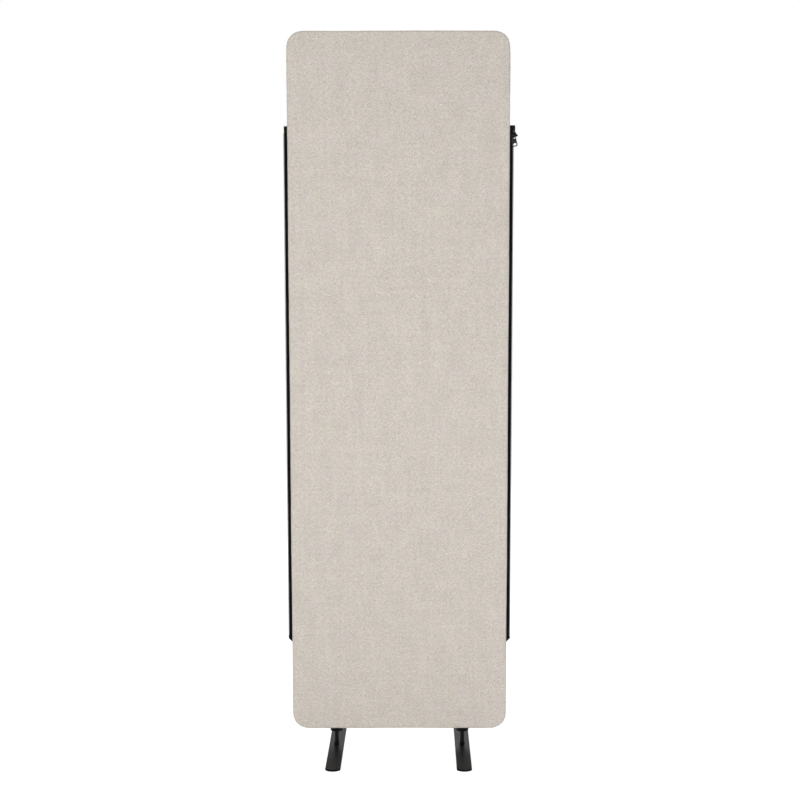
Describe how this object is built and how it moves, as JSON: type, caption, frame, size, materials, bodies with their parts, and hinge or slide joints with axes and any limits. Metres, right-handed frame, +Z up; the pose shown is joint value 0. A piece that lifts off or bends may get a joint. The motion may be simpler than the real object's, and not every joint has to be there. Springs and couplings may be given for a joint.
{
  "type": "partition screen",
  "caption": "Freestanding upright fabric screen panel with rounded corners, separable half zips down both side edges and two flat turning feet on short posts.",
  "frame": {"origin": "on the floor, midway between the two feet and at the panel's middle plane", "axes": "+X along the panel to the right seen from the front, +Y away from the viewer to the back, +Z up"},
  "size_m": [0.5364, 0.336, 1.676],
  "materials": {
    "cover_fabric": "plain woven melange upholstery fabric, beige",
    "foam": "open-cell foam sheet",
    "core_felt": "pressed acoustic felt",
    "frame_steel": "powder-coated square steel tube",
    "rivet_metal": "satin",
    "socket_metal": "semi-gloss black coat",
    "zip_tape": "woven black zip tape",
    "zip_plastic": "moulded black plastic",
    "zip_film": "black reinforcing film",
    "slider_metal": "black enamelled die casting",
    "foot_metal": "semi-gloss black powder coat",
    "screw_steel": "black oxide",
    "pad_rubber": "matt"
  },
  "bodies": {
    "panel": {"front_cover": "cover_fabric", "back_cover": "cover_fabric", "front_foam": "foam", "back_foam": "foam", "core_lower": "core_felt", "core_middle": "core_felt", "core_upper": "core_felt", "frame_top_bow": "frame_steel", "frame_bottom_bow": "frame_steel", "frame_splice_left": "frame_steel", "frame_splice_right": "frame_steel", "splice_rivets": "rivet_metal", "cross_rail_lower": "frame_steel", "cross_rail_upper": "frame_steel", "foot_socket_left": "socket_metal", "foot_socket_right": "socket_metal", "zip_tape_left": "zip_tape", "zip_tape_right": "zip_tape", "zip_teeth_left": "zip_plastic", "zip_teeth_right": "zip_plastic", "zip_film_left": "zip_film", "zip_film_right": "zip_film", "zip_stop_left": "zip_plastic", "zip_stop_right": "zip_plastic", "insertion_pin": "zip_plastic", "retainer_pin": "zip_plastic", "retainer_box": "zip_plastic"},
    "slider": {"slider_body": "slider_metal", "slider_bail": "slider_metal"},
    "pull": {"pull_tab": "slider_metal"},
    "foot_left": {"foot_post_left": "foot_metal", "foot_plate_left": "foot_metal", "foot_screw_left": "screw_steel", "foot_pads_left": "pad_rubber"},
    "foot_right": {"foot_post_right": "foot_metal", "foot_plate_right": "foot_metal", "foot_screw_right": "screw_steel", "foot_pads_right": "pad_rubber"}
  },
  "joints": [
    {"name": "slider_run", "type": "slide", "parent": "panel", "child": "slider", "axis": [0, 0, -1], "range_m": [0, 1.168]},
    {"name": "pull_swing", "type": "hinge", "parent": "slider", "child": "pull", "pos_m": [0.26245, -0.00425, 1.44318], "axis": [-0.9903, 0, -0.1392], "range_deg": [0, 150]},
    {"name": "foot_left_turn", "type": "hinge", "parent": "panel", "child": "foot_left", "pos_m": [-0.1505, 0, 0.0048], "axis": [0, 0, 1], "range_deg": [-50, 50]},
    {"name": "foot_right_turn", "type": "hinge", "parent": "panel", "child": "foot_right", "pos_m": [0.1505, 0, 0.0048], "axis": [0, 0, 1], "range_deg": [-50, 50]}
  ]
}
